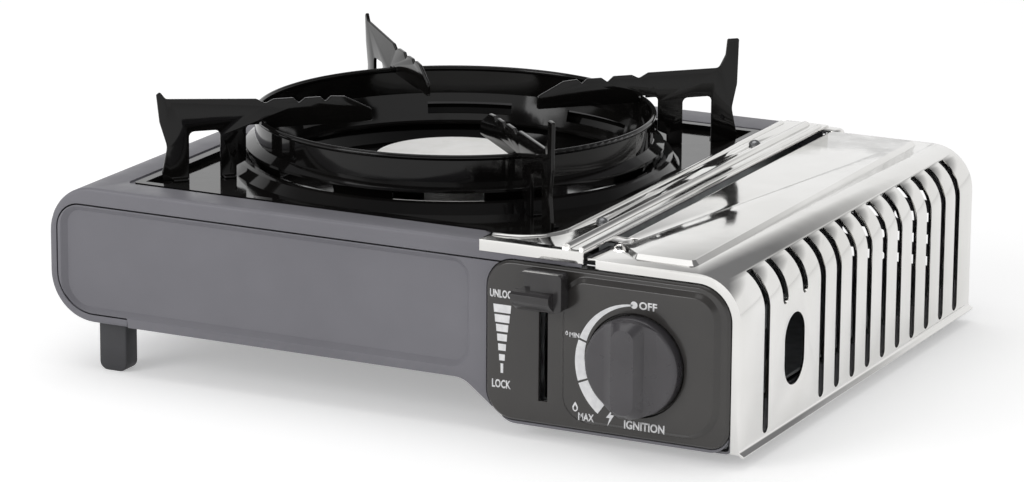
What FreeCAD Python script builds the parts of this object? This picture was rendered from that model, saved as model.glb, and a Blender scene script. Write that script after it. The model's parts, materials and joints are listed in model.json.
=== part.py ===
import FreeCAD, Part
import math
import os

# Butane cassette stove: burner on the left, cartridge bay under a hinged cover on the right.
# X runs along the front to the right, Y to the back, Z up. The table is z = 0.
# The origin is under the middle of the whole object.

# Overall sizes
body_width = 340.0
body_depth = 266.0
body_top = 85.0
knob_reach = 17.0
sheet = 1.0
lap_gap = 0.3
back_gap = 0.2

x_left = -body_width / 2
x_right = body_width / 2
y_front = -(body_depth - knob_reach) / 2
y_back = y_front + body_depth
y_middle = y_front + body_depth / 2

# Left shell and its front field
shell_bottom = 23.0
shell_corner = 22.0
flange_width = 3.5
top_flange = 7.8
flange_corner = 12.0
rim_round = 1.5
rim_gap = 0.7
seam_x = x_left + 39.7
field_left = x_left + 5.7
field_right = 41.0
field_bottom = 27.2
field_top = 76.0
field_depth = 2.4
field_bevel = 2.4
field_corner = 9.0
field_low_corner = 14.0

# Step down to the cartridge side
step_start_x = 38.0
step_end_x = 60.0
bay_bottom = 6.0
floor_lip_gap = 4.0
floor_lip_height = 16.0

# Vents in the back wall
vent_rows = 4
vent_columns = 4
vent_stagger = 10.0
floor_vent_rows = 5
floor_vent_columns = 4
vent_low = 26.5
vent_rise = 10.5
vent_length = 22.0
vent_height = 4.6
back_vents_left = x_left + 50.0
back_vent_pitch = 30.0
bay_vents = (104.0, 130.0)
floor_vent_left = -110.0
floor_vent_front = y_middle - 60.0
floor_vent_pitch = 34.0
floor_vent_rise = 30.0
floor_vent_length = 24.0
floor_vent_width = 5.0

# Tray and its opening
tray_left = -137.0
tray_right = 71.0
tray_front = y_front + 18.5
tray_front_step = y_front + 11.0
tray_step_x = 41.0
tray_back = y_back - 22.0
tray_corner = 20.0
tray_floor_drop = 2.5
tray_rim = 3.0
tray_joggle = 2.5
collar_radius = 100.0
collar_rise = 5.0
collar_width = 5.5
well_radius = 88.0
well_floor = 68.0
well_hole_radius = 34.0

# Burner, ring and pan-support arms
burner_x = -34.6
ring_radius = 91.5
ring_top = 106.7
ring_shoulder = 93.5
ring_skirt = 4.5
ring_foot = 80.0
ring_wall = 1.0
rim_roll = 1.3
air_slots = 8
air_slot_angle = 26.0
air_slot_height = 5.5
air_slot_rise = 4.0
arm_thickness = 1.6
arm_top = 117.5
arm_tip = 39.5
arm_reach = 138.0
leg_width = 12.5
inner_leg_start = ring_radius + 7.5
inner_leg_width = 12.0
long_horn_top = 131.0
short_horn_top = 123.5
foot_tab = 4.0
burner_radius = 38.0
burner_top = 85.0
burner_cap_height = 6.0
burner_neck = 14.0
tube_radius = 9.0
tube_bore = 7.5
tube_z = 56.0
jet_x = 66.0
jet_plate = 2.0
jet_bracket_width = 18.0
jet_bracket_foot = 10.0
cap_notches = 36
bracket_half = 40.0
bracket_slope = 26.0
bracket_top = 18.0
bracket_depth = 14.0
electrode_reach = 43.5
electrode_angle = -35.0
ceramic_radius = 2.2

# Hinge line, fixed strip and cover
hinge_x = 100.5
hinge_z = 82.0
knuckle_radius = 3.0
rod_radius = 1.9
rod_clearance = 0.06
knuckle_length = 8.0
hinge_front = y_front + 24.0
fixed_knuckles = (hinge_front + 1.5, y_back - knuckle_length)
knuckle_notch = 2.5
strip_right = 95.0
strip_bead = 1.8
strip_left = tray_step_x + 5.0
strip_front_depth = 40.0
strip_lip_height = 4.2
strip_thickness = 0.8
strip_ribs = ((tray_right + 14.0, 2.2), (tray_right + 21.0, 1.4))
rib_end = 4.0
strip_screw_x = tray_right + 8.5
strip_screw_places = (y_middle - 82.0, y_middle + 82.0)
strip_screw_radius = 1.6
cover_right = 168.0
cover_corner = 20.0
cover_border_drop = 2.0
cover_field_right = 142.5
cover_field_front = y_front + 9.5
cover_field_bevel = 2.0
cover_chamfer = 14.0
cover_foot = 7.6
cover_flare = 2.4
cover_flare_drop = 1.4
cover_band = 4.0
cover_side_gap = 1.5
cover_top_gap = 2.2
slot_width = 5.8
slot_lip = 1.6
slot_lip_wall = 0.7
slot_pitch = 17.7
slot_count = 10
slot_first = y_back - 18.7
slot_bottom = 9.2
slot_top_angle = 57.0
short_slot_bottom = 64.0
finger_hole_y = y_front + 57.6
finger_hole_z = 39.0
finger_hole_width = 21.6
finger_hole_height = 32.0
short_slot_offset = 10.6
end_slot_offset = 30.1

# Control panel, knob and lever
panel_left = 49.5
panel_right = 163.6
panel_bottom = 7.6
panel_top = 78.4
panel_corner = 13.0
panel_cover_corner = 15.4
panel_low_corner = 9.0
panel_edge = 1.2
panel_backing = 5.0
front_end_x = panel_left + 25.0
skirt_outside = 3.0
skirt_inside = 5.0
panel_proud = 1.5
panel_thickness = 2.4
panel_gap = 0.4
raised_left = 86.0
raised_right = 159.5
raised_bottom = 11.0
raised_top = 75.5
raised_height = 2.4
raised_bevel = 2.2
raised_corner = 12.0
raised_low_corner = 16.0
knob_x = 121.2
knob_z = 40.5
knob_radius = 21.5
knob_thickness = 7.0
knob_clearance = 1.2
knob_gap = 0.4
grip_width = 10.5
grip_base_width = 15.0
grip_foot_width = 27.0
grip_front_length = 37.0
grip_length = 44.0
grip_round = 5.0
shaft_radius = 3.0
shaft_clearance = 0.08
lever_x = 77.0
lever_slot_width = 4.2
lever_slot_bottom = 18.0
lever_neck = 12.0
lever_neck_width = 3.4
lever_travel = 45.0
lever_flag_left = 70.0
lever_flag_right = 90.0
lever_flag_height = 16.5
lever_flag_thickness = 7.0
lever_notch = 5.5
lever_ledge = 8.5
lever_ledge_width = 18.0
lever_ledge_slope = 5.0
lever_front_gap = 0.5

# Cartridge side
carriage_travel = 9.0
shield_x = 82.4
shield_foot = 5.5
shield_head = 8.0
bay_wall_y = y_front + 3.6
bay_wall_thickness = 1.2
bay_wall_back = bay_wall_y + bay_wall_thickness
regulator_front = y_front + 14.0
regulator_radius = 17.0
regulator_length = 13.5
regulator_cap_radius = 12.0
regulator_cap_height = 5.0
regulator_boss = 4.5
ear_place = 13.0
ear_half = 4.0
port_place = 8.5
socket_radius = 4.2
socket_depth = 8.0
fork_thickness = 1.5
fork_radius = 17.5
cradle_half = 28.0
cradle_flat = 20.0
cradle_rise = 6.5
pipe_radius = 2.0
pipe_x = 76.5
pipe_low = 13.0
pipe_bend = 6.0
wire_radius = 1.2
wire_low = 9.5
cam_radius = 7.0
cam_reach = 10.5
cam_thickness = 4.0
igniter_x = 141.0
igniter_length = 18.0
igniter_size = 9.0
plunger_radius = 2.5
slide_pin_radius = 1.8
pin_clearance = 0.25
knob_turn = 150.0

# Places that follow from the sizes above
slide_pin_y = bay_wall_back + carriage_travel + 5.7
slide_pin_z = lever_slot_bottom + lever_travel + lever_neck / 2 - 3
cam_plate_x = lever_x + lever_neck_width / 2 + 0.8
fork_y = regulator_front + regulator_length + 2.0 + carriage_travel

# Feet
tall_foot_width = 14.0
tall_foot_depth = 10.0
tall_foot_x = seam_x - 11.2
foot_inset = 6.0
low_foot_radius = 7.0
low_foot_inset = 36.0
low_foot_x = 150.0
foot_corner = 4.0

# Screws under the base
screw_inset = 40.0
screw_head = 3.0
screw_head_height = 1.2

point = FreeCAD.Vector
axis_x = point(1, 0, 0)
axis_y = point(0, 1, 0)
axis_z = point(0, 0, 1)


def box(x0, x1, y0, y1, z0, z1):
    return Part.makeBox(x1 - x0, y1 - y0, z1 - z0, point(x0, y0, z0))


def rod(radius, start, direction, length):
    return Part.makeCylinder(radius, length, start, direction)


def on_front(y):
    """Places outline points on an upright plane that faces the front."""
    return lambda a, b: point(a, y, b)


def on_table(z):
    """Places outline points on a level plane."""
    return lambda a, b: point(a, b, z)


def rounded_wire(corners, place):
    """Closed wire through (a, b, radius) corners, each rounded by its own radius."""
    ends = []
    count = len(corners)
    for i in range(count):
        a, b, radius = corners[i]
        before = corners[i - 1]
        after = corners[(i + 1) % count]
        back = FreeCAD.Base.Vector2d(before[0] - a, before[1] - b)
        ahead = FreeCAD.Base.Vector2d(after[0] - a, after[1] - b)
        back_length = math.hypot(back.x, back.y)
        ahead_length = math.hypot(ahead.x, ahead.y)
        back_unit = (back.x / back_length, back.y / back_length)
        ahead_unit = (ahead.x / ahead_length, ahead.y / ahead_length)
        cosine = back_unit[0] * ahead_unit[0] + back_unit[1] * ahead_unit[1]
        half = math.acos(max(-1.0, min(1.0, cosine))) / 2
        if radius <= 0 or half > math.pi / 2 - 0.001:
            ends.append(((a, b), None, (a, b)))
            continue
        tangent = radius / math.tan(half)
        start = (a + back_unit[0] * tangent, b + back_unit[1] * tangent)
        finish = (a + ahead_unit[0] * tangent, b + ahead_unit[1] * tangent)
        bisector = (back_unit[0] + ahead_unit[0], back_unit[1] + ahead_unit[1])
        bisector_length = math.hypot(*bisector)
        reach = radius / math.sin(half) - radius
        middle = (a + bisector[0] / bisector_length * reach, b + bisector[1] / bisector_length * reach)
        ends.append((start, middle, finish))
    edges = []
    for i in range(count):
        start, middle, finish = ends[i]
        next_start = ends[(i + 1) % count][0]
        if middle:
            edges.append(Part.Arc(place(*start), place(*middle), place(*finish)).toShape())
        if math.hypot(next_start[0] - finish[0], next_start[1] - finish[1]) > 1e-6:
            edges.append(Part.LineSegment(place(*finish), place(*next_start)).toShape())
    return Part.Wire(edges)


def tube_along(points, bend, radius):
    """Round solid along straight runs joined by arcs of one bend radius."""
    edges = []
    start = points[0]
    for i in range(1, len(points) - 1):
        corner = points[i]
        back = (points[i - 1] - corner).normalize()
        ahead = (points[i + 1] - corner).normalize()
        half = back.getAngle(ahead) / 2
        tangent = bend / math.tan(half)
        near = corner + back * tangent
        far = corner + ahead * tangent
        middle = corner + (back + ahead).normalize() * (bend / math.sin(half) - bend)
        edges.append(Part.LineSegment(start, near).toShape())
        edges.append(Part.Arc(near, middle, far).toShape())
        start = far
    edges.append(Part.LineSegment(start, points[-1]).toShape())
    heading = points[1] - points[0]
    circle = Part.Wire([Part.makeCircle(radius, points[0], heading)])
    return Part.Wire(edges).makePipeShell([circle], True, False)


def upright_plate(corners, y0, y1):
    return Part.Face(rounded_wire(corners, on_front(y0))).extrude(point(0, y1 - y0, 0))


def level_plate(corners, z0, z1):
    return Part.Face(rounded_wire(corners, on_table(z0))).extrude(point(0, 0, z1 - z0))


def rectangle(a0, a1, b0, b1, radius):
    return [(a0, b0, radius), (a1, b0, radius), (a1, b1, radius), (a0, b1, radius)]


def turned(profile, x, y):
    """Solid of revolution about an upright axis at (x, y) from (radius, z) corners."""
    points = [point(x + r, y, z) for r, z in profile]
    face = Part.Face(Part.makePolygon(points + points[:1]))
    return face.revolve(point(x, y, 0), axis_z, 360)


def offset_path(path, distance):
    """The same path moved sideways, to its left where distance is positive."""
    moved = []
    last = len(path) - 1
    for i, (a, b, radius) in enumerate(path):
        normals = []
        turn = 0
        headings = []
        if i > 0:
            headings.append((a - path[i - 1][0], b - path[i - 1][1]))
        if i < last:
            headings.append((path[i + 1][0] - a, path[i + 1][1] - b))
        for run, rise in headings:
            length = math.hypot(run, rise)
            normals.append((-rise / length, run / length))
        if len(headings) == 2:
            turn = headings[0][0] * headings[1][1] - headings[0][1] * headings[1][0]
        total = (sum(n[0] for n in normals), sum(n[1] for n in normals))
        size = math.hypot(*total)
        unit = (total[0] / size, total[1] / size)
        stretch = distance / (unit[0] * normals[0][0] + unit[1] * normals[0][1])
        if radius > 0 and turn > 0:
            radius = max(radius - distance, 0.05)
        elif radius > 0:
            radius = max(radius + distance, 0.05)
        moved.append((a + unit[0] * stretch, b + unit[1] * stretch, radius))
    return moved


def bent_sheet(path, thickness, y0, y1):
    """Sheet bent along a path in the front view, thickness to the path's left, drawn from y0 to y1."""
    outline = path + offset_path(path, thickness)[::-1]
    return upright_plate(outline, y0, y1)


def pressed_field(big, small, place_start, place_end, shift):
    """Solid between two outlines, for a pressed field with sloping sides."""
    body = Part.makeLoft([rounded_wire(big, place_start), rounded_wire(small, place_end)], True, True)
    body.translate(shift)
    return body


def slot_x(x0, x1, y, z, width, depth):
    """Level slot with round ends, along X, cut through a level sheet."""
    radius = width / 2
    bar = box(x0 + radius, x1 - radius, y - radius, y + radius, z, z + depth)
    for x in (x0 + radius, x1 - radius):
        bar = bar.fuse(rod(radius, point(x, y, z), axis_z, depth))
    return bar


def slot_upright(x0, x1, z, y, width, depth):
    """Slot with round ends along X, cut through an upright sheet that faces the front."""
    radius = width / 2
    bar = box(x0 + radius, x1 - radius, y, y + depth, z - radius, z + radius)
    for x in (x0 + radius, x1 - radius):
        bar = bar.fuse(rod(radius, point(x, y, z), axis_y, depth))
    return bar


def tray_outline(grow):
    """Plan of the drip tray, grown outwards by the given amount."""
    return [
        (tray_left - grow, tray_front - grow, 2.0 + grow),
        (tray_step_x, tray_front - grow, 2.5),
        (tray_step_x + 5, tray_front_step - grow, 2.5),
        (tray_right + grow, tray_front_step - grow, tray_corner + grow),
        (tray_right + grow, tray_back + grow, 3.0 + grow),
        (tray_left - grow, tray_back + grow, 2.0 + grow),
    ]


def shell_path():
    """Outer line of the left shell in the front view, from its top right end round to its bottom seam."""
    return [
        (strip_right - sheet, body_top, 0),
        (x_left, body_top, shell_corner),
        (x_left, shell_bottom, shell_corner),
        (seam_x, shell_bottom, 0),
    ]


def front_outline(inset, right, top, top_corner, right_corner):
    """Outline of the front or back wall of the body."""
    return [
        (x_left + inset, top, top_corner),
        (x_left + inset, shell_bottom + inset, shell_corner - inset),
        (seam_x, shell_bottom + inset, 0.3),
        (seam_x + 0.5, shell_bottom, 0.3),
        (step_start_x, shell_bottom, 12.0),
        (step_end_x, bay_bottom, 10.0),
        (right, bay_bottom, right_corner),
        (right, top, 3.0),
    ]


def shell_edge(place):
    """True for a place on the outer line of the shell in the front view."""
    centre_x = x_left + shell_corner
    low = shell_bottom + shell_corner
    high = body_top - shell_corner
    if place.x >= centre_x:
        return min(abs(place.z - body_top), abs(place.z - shell_bottom)) < 0.01
    if low <= place.z <= high:
        return abs(place.x - x_left) < 0.01
    centre_z = low if place.z < low else high
    return abs(math.hypot(place.x - centre_x, place.z - centre_z) - shell_corner) < 0.01


def front_flange():
    """Upright rim of the shell at the front, wider along the top."""
    middle = (shell_bottom + body_top) / 2
    outer = shell_path() + [(seam_x, middle, 0), (strip_right - sheet, middle, 0)]
    right = strip_right + 1
    low = shell_bottom + flange_width
    inner = [
        (x_left + flange_width, body_top - top_flange, flange_corner),
        (x_left + flange_width, low, shell_corner - flange_width),
        (right, low, 0),
        (right, body_top - top_flange, 0),
    ]
    rim = upright_plate(outer, y_front, y_front + sheet)
    rim = rim.cut(upright_plate(inner, y_front - 1, y_front + 2))
    return rim.cut(upright_plate(panel_outline(panel_gap), y_front - 1, y_front + 2))


def body_shell():
    path = shell_path()
    shell = bent_sheet(path, sheet, y_front, y_back)
    shell = shell.fuse(front_flange()).fuse(bent_sheet(path, flange_width, y_back - sheet, y_back)).removeSplitter()
    rim = []
    for edge in shell.Edges:
        middle = edge.valueAt((edge.FirstParameter + edge.LastParameter) / 2)
        on_rim = edge.BoundBox.YLength < 0.01 and abs(middle.y - y_front) < 0.01
        if on_rim and shell_edge(middle) and edge.Length > 2 * sheet:
            rim.append(edge)
    shell = shell.makeFillet(rim_round, rim)
    opening = level_plate(tray_outline(tray_joggle), body_top - 2 * sheet, body_top + 1)
    shell = shell.cut(opening)
    lip_outer = level_plate(tray_outline(tray_joggle + sheet), body_top - 2 * sheet, body_top - sheet)
    lip_inner = level_plate(tray_outline(lap_gap - tray_rim), body_top - 3 * sheet, body_top)
    shell = shell.fuse(lip_outer.cut(lip_inner))
    for y in strip_screw_places:
        shell = shell.cut(rod(strip_screw_radius + 0.1, point(strip_screw_x, y, body_top - 3), axis_z, 6))
    return shell.removeSplitter()


def panel_outline(grow):
    """Outline of the control panel in the front view."""
    return [
        (panel_left - grow, panel_bottom - grow, panel_corner + grow),
        (panel_right + grow, panel_bottom - grow, panel_low_corner + grow),
        (panel_right + grow, panel_top + grow, panel_cover_corner + grow),
        (panel_left - grow, panel_top + grow, panel_corner + grow),
    ]


def field_outline(grow):
    """Outline of the front panel's pressed field."""
    return [
        (field_left - grow, field_bottom - grow, field_low_corner + grow),
        (field_right + grow, field_bottom - grow, field_corner + grow),
        (field_right + grow, field_top + grow, field_corner + grow),
        (field_left - grow, field_top + grow, field_corner + grow),
    ]


def front_panel():
    inset = flange_width + rim_gap
    outline = front_outline(inset, panel_right, body_top - top_flange - rim_gap, flange_corner - rim_gap,
                            panel_low_corner)
    wall = upright_plate(outline, y_front, y_front + sheet)
    wall = wall.cut(upright_plate(panel_outline(panel_gap), y_front - 1, y_front + 2))
    wall = wall.cut(box(front_end_x, x_right, y_front - 1, y_front + 2, panel_bottom + panel_backing, body_top))
    big = field_outline(0)
    small = field_outline(-field_bevel)
    hollow = pressed_field(big, small, on_front(y_front), on_front(y_front + field_depth), point(0, 0, 0))
    back = pressed_field(big, small, on_front(y_front), on_front(y_front + field_depth), point(0, sheet, 0))
    return wall.fuse(back).cut(hollow).removeSplitter()


def back_panel():
    inset = sheet + back_gap
    y1 = y_back - sheet - lap_gap
    y0 = y1 - sheet
    left_end = strip_right - 2 * sheet
    outline = front_outline(inset, left_end, body_top - inset, shell_corner - inset, 1.0)
    wall = upright_plate(outline, y0, y1)
    right = cover_right - sheet - cover_side_gap
    top = body_top - cover_border_drop - sheet - cover_top_gap
    wall = wall.fuse(upright_plate([
        (left_end - 5, bay_bottom, 0), (right, bay_bottom, 1), (right, top, cover_corner), (left_end - 5, top, 0),
    ], y0, y1))
    wall = wall.cut(rod(knuckle_radius + 0.5, point(hinge_x, y0 - 2, hinge_z), axis_y, 6))
    for row in range(vent_rows):
        z = vent_low + vent_rise * row
        for x0 in bay_vents:
            wall = wall.cut(slot_upright(x0, x0 + vent_length, z, y0 - 2, vent_height, 5))
        for column in range(vent_columns):
            x0 = back_vents_left + back_vent_pitch * column
            wall = wall.cut(slot_upright(x0, x0 + vent_length, z + vent_stagger, y0 - 2, vent_height, 5))
    return wall.removeSplitter()


def base_pan():
    path = [
        (seam_x, shell_bottom, 0),
        (step_start_x, shell_bottom, 12.0),
        (step_end_x, bay_bottom, 10.0),
        (cover_right - floor_lip_gap, bay_bottom, 2.5),
        (cover_right - floor_lip_gap, bay_bottom + floor_lip_height, 0),
    ]
    pan = bent_sheet(path, sheet, y_front + sheet, y_back - 2 * sheet - lap_gap)
    for row in range(floor_vent_rows):
        for column in range(floor_vent_columns):
            x0 = floor_vent_left + floor_vent_pitch * column
            y = floor_vent_front + floor_vent_rise * row
            pan = pan.cut(slot_x(x0, x0 + floor_vent_length, y, shell_bottom - 1, floor_vent_width, 4))
    return pan


def heat_shield():
    """Partition between the burner side and the cartridge bay, with a bent foot and head."""
    path = [
        (shield_x - shield_foot, bay_bottom + sheet, 0),
        (shield_x, bay_bottom + sheet, 1.5),
        (shield_x, body_top - 2 * sheet, 1.5),
        (shield_x + shield_head, body_top - 2 * sheet, 0),
    ]
    return bent_sheet(path, sheet, fork_y + fork_thickness + 1.5, y_back - 6)


def hinge_strip():
    """Fixed bright strip between the tray and the cover, with ribs, a front lip and end knuckles."""
    z0 = body_top
    plan = [
        (strip_left, y_front, 0.5),
        (strip_right, y_front, 0.5),
        (strip_right, y_back, 0.5),
        (tray_right + tray_joggle, y_back, 0.5),
        (tray_right + tray_joggle, y_front + strip_front_depth, 0),
        (strip_left, y_front + strip_front_depth, 0),
    ]
    strip = level_plate(plan, z0, z0 + strip_thickness)
    strip = strip.cut(level_plate(tray_outline(0.5), z0 - 1, z0 + 2))
    lip = box(strip_left, strip_right, y_front - strip_thickness, y_front, body_top - strip_lip_height,
              z0 + strip_thickness)
    strip = strip.fuse(lip)
    for x, half in strip_ribs:
        rib = rod(half, point(x, y_front + rib_end, z0 + 0.2), axis_y, body_depth - 2 * rib_end)
        rib = rib.cut(box(x - 5, x + 5, y_front, y_back, z0 - 5, z0 + 0.1))
        strip = strip.fuse(rib)
    grow = strip_bead + 0.6
    right = tray_right + grow
    near = tray_front_step - grow
    radius = tray_corner + grow
    arc_centre = (right - radius, near + radius)
    diagonal = math.sqrt(0.5) * radius
    path = Part.Wire([
        Part.LineSegment(point(strip_left + 2, near, z0), point(arc_centre[0], near, z0)).toShape(),
        Part.Arc(point(arc_centre[0], near, z0),
                 point(arc_centre[0] + diagonal, arc_centre[1] - diagonal, z0),
                 point(right, arc_centre[1], z0)).toShape(),
        Part.LineSegment(point(right, arc_centre[1], z0), point(right, y_back - 6, z0)).toShape(),
    ])
    circle = Part.Wire([Part.makeCircle(strip_bead, point(strip_left + 2, near, z0), axis_x)])
    bead = path.makePipe(Part.Face(circle))
    bead = bead.cut(box(x_left, x_right, y_front - 5, y_back + 5, z0 - 5, z0 + 0.1))
    strip = strip.fuse(bead)
    for y0 in fixed_knuckles:
        knuckle = rod(knuckle_radius, point(hinge_x, y0, hinge_z), axis_y, knuckle_length)
        arm = box(strip_right - 1, hinge_x, y0, y0 + knuckle_length, hinge_z + 2, z0 + 0.0)
        step = box(strip_right - 1, strip_right, y0, y0 + knuckle_length, hinge_z + 2, z0 + 0.4)
        strip = strip.fuse(knuckle).fuse(arm).fuse(step)
        strip = strip.cut(rod(rod_radius + rod_clearance, point(hinge_x, y0 - 1, hinge_z), axis_y, knuckle_length + 2))
    for y in strip_screw_places:
        strip = strip.cut(rod(strip_screw_radius + 0.1, point(strip_screw_x, y, z0 - 1), axis_z, 4))
    return strip.removeSplitter()


def strip_screws():
    """Two screws in the groove between the ribs, through the strip into the shell."""
    screws = []
    for y in strip_screw_places:
        head = Part.makeSphere(3.2, point(strip_screw_x, y, body_top - 0.6))
        head = head.common(box(x_left, x_right, y_front, y_back, body_top + strip_thickness, body_top + 6))
        stem = rod(strip_screw_radius, point(strip_screw_x, y, body_top - 4), axis_z, 4 + strip_thickness + 0.5)
        screws.append(head.fuse(stem))
    return Part.makeCompound(screws)


def hinge_rod():
    start = hinge_front + lap_gap
    return rod(rod_radius, point(hinge_x, start, hinge_z), axis_y, y_back - lap_gap - start)


def cover_path():
    top = body_top - cover_border_drop
    return [
        (hinge_x, top, 0),
        (cover_right, top, cover_corner),
        (cover_right, cover_foot, 1.5),
        (cover_right + cover_flare, cover_foot - cover_flare_drop, 0),
    ]


def cover_slot(y, bottom, grow=0.0):
    """Cutter for one slot, from the rounded top corner down the right wall, grown by the given amount."""
    centre_x = cover_right - cover_corner
    centre_z = body_top - cover_border_drop - cover_corner
    angle = math.radians(slot_top_angle) + grow / cover_corner
    radius = cover_corner + 3
    top = (centre_x + radius * math.cos(angle), centre_z + radius * math.sin(angle))
    inner = cover_corner - 4
    corners = [
        (cover_right + 4, bottom, 0),
        (cover_right + 4, top[1], 0),
        (top[0], top[1], 0),
        (centre_x + inner * math.cos(angle), centre_z + inner * math.sin(angle), 0),
        (cover_right - 5, centre_z, 0),
        (cover_right - 5, bottom, 0),
    ]
    half = slot_width / 2 + grow
    cutter = upright_plate(corners, y - half, y + half)
    return cutter.fuse(rod(half, point(cover_right - 5, y, bottom), axis_x, 9))


def cover():
    path = cover_path()
    shell = bent_sheet(path[::-1], sheet, y_front, y_back)
    band_path = [path[0], path[1], (cover_right, cover_foot - 1.0, 0)]
    for y0 in (y_front, y_back - sheet):
        shell = shell.fuse(bent_sheet(band_path[::-1], cover_band, y0, y0 + sheet))
    top = body_top - cover_border_drop
    low = hinge_x
    back_end = y_back - knuckle_length - lap_gap
    chamfer = cover_chamfer
    big = [
        (low, cover_field_front + chamfer, 0),
        (low + chamfer, cover_field_front, 2),
        (cover_field_right, cover_field_front, 4),
        (cover_field_right, back_end, 0),
        (low, back_end, 0),
    ]
    bevel = cover_field_bevel
    small = [
        (low, cover_field_front + chamfer + bevel, 0),
        (low + chamfer, cover_field_front + bevel, 1),
        (cover_field_right - bevel, cover_field_front + bevel, 2.5),
        (cover_field_right - bevel, back_end, 0),
        (low, back_end, 0),
    ]
    field = pressed_field(big, small, on_table(top), on_table(top + cover_border_drop), point(0, 0, 0))
    hollow = pressed_field(big, small, on_table(top), on_table(top + cover_border_drop), point(0, 0, -sheet))
    shell = shell.fuse(field).cut(hollow)
    tongue = box(strip_right + lap_gap, hinge_x + 1, y_front + panel_gap + sheet, hinge_front, top - sheet, top)
    shell = shell.fuse(tongue)
    shell = shell.fuse(rod(knuckle_radius, point(hinge_x, hinge_front, hinge_z), axis_y, back_end - hinge_front))
    for y0 in fixed_knuckles:
        shell = shell.cut(rod(knuckle_radius + knuckle_notch, point(hinge_x, y0 - lap_gap, hinge_z), axis_y,
                              knuckle_length + 2 * lap_gap))
    bore = rod(rod_radius + rod_clearance, point(hinge_x, hinge_front - 1, hinge_z), axis_y, body_depth)
    shell = shell.cut(bore)
    places = [(slot_first - slot_pitch * i, slot_bottom + slot_width / 2) for i in range(slot_count)]
    places.append((finger_hole_y - end_slot_offset, slot_bottom + slot_width / 2))
    places += [(finger_hole_y + side * short_slot_offset, short_slot_bottom) for side in (-1, 1)]
    straight = path[:2] + [(cover_right, cover_foot, 0)]
    thick = bent_sheet(straight[::-1], slot_lip, y_front + 2, y_back - 2)
    for y, bottom in places:
        shell = shell.fuse(thick.common(cover_slot(y, bottom, slot_lip_wall)))
    for y, bottom in places:
        shell = shell.cut(cover_slot(y, bottom))
    radius = finger_hole_width / 2
    reach = finger_hole_height / 2 - radius
    hole = box(cover_right - 5, cover_right + 4, finger_hole_y - radius, finger_hole_y + radius,
               finger_hole_z - reach, finger_hole_z + reach)
    for z in (finger_hole_z - reach, finger_hole_z + reach):
        hole = hole.fuse(rod(radius, point(cover_right - 5, finger_hole_y, z), axis_x, 9))
    return shell.cut(hole).removeSplitter()


def drip_tray():
    top = body_top
    floor = top - tray_floor_drop
    rim = level_plate(tray_outline(0), top - sheet, top)
    rim = rim.cut(level_plate(tray_outline(-tray_rim), top - 2, top + 1))
    wall = level_plate(tray_outline(-tray_rim), floor - sheet, top)
    wall = wall.cut(level_plate(tray_outline(-tray_rim - sheet), floor - 2, top + 1))
    plate = level_plate(tray_outline(-tray_rim), floor - sheet, floor)
    middle = rod(collar_radius, point(burner_x, y_middle, floor - 3), axis_z, 6)
    plate = plate.cut(middle)
    ridge = floor + collar_rise
    outer = collar_radius + 3
    inner = collar_radius - collar_width
    bowl = turned([
        (outer, floor - sheet), (outer, floor), (collar_radius, ridge - 0.6), (collar_radius - 2, ridge),
        (inner + 1, ridge - 0.4), (inner, ridge - 2), (well_radius, well_floor + 3), (well_radius - 3, well_floor),
        (well_hole_radius, well_floor), (well_hole_radius, well_floor - sheet), (well_radius - 3, well_floor - sheet),
        (well_radius + 1, well_floor + 2.5), (inner + 1, ridge - 3), (collar_radius - 2, ridge - 1.2),
    ], burner_x, y_middle)
    bowl = bowl.common(level_plate(tray_outline(-tray_rim), well_floor - 5, ridge + 1))
    tray = rim.fuse(wall).fuse(plate).fuse(bowl)
    return tray.cut(rod(ceramic_radius + lap_gap, electrode_point(well_floor - 3), axis_z, 6)).removeSplitter()


def ring():
    """Wind guard: rolled rim, upright wall, a shoulder skirt and a lower wall with air slots."""
    r = ring_radius
    t = ring_wall
    profile = [
        (r, ring_top - rim_roll), (r, ring_shoulder + 1), (r + ring_skirt, ring_shoulder - 1.6),
        (r + ring_skirt, ring_shoulder - 2.8), (r, ring_shoulder - 0.6), (r - 3, ring_foot), (r - 8, ring_foot),
        (r - 8, ring_foot + t), (r - 3 - t, ring_foot + t), (r - t, ring_shoulder), (r - t, ring_top - rim_roll),
    ]
    body = turned(profile, burner_x, y_middle)
    roll = Part.makeTorus(r - t / 2, rim_roll, point(burner_x, y_middle, ring_top - rim_roll), axis_z)
    body = body.fuse(roll)
    for i in range(air_slots):
        angle = 360.0 / air_slots * (i + 0.5)
        low = point(burner_x, y_middle, ring_foot + air_slot_rise)
        cutter = Part.makeCylinder(r + 3, air_slot_height, low, axis_z, air_slot_angle)
        cutter = cutter.cut(Part.makeCylinder(r - 12, air_slot_height, low, axis_z))
        cutter.rotate(point(burner_x, y_middle, 0), axis_z, angle - air_slot_angle / 2)
        body = body.cut(cutter)
    return body.removeSplitter()


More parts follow.
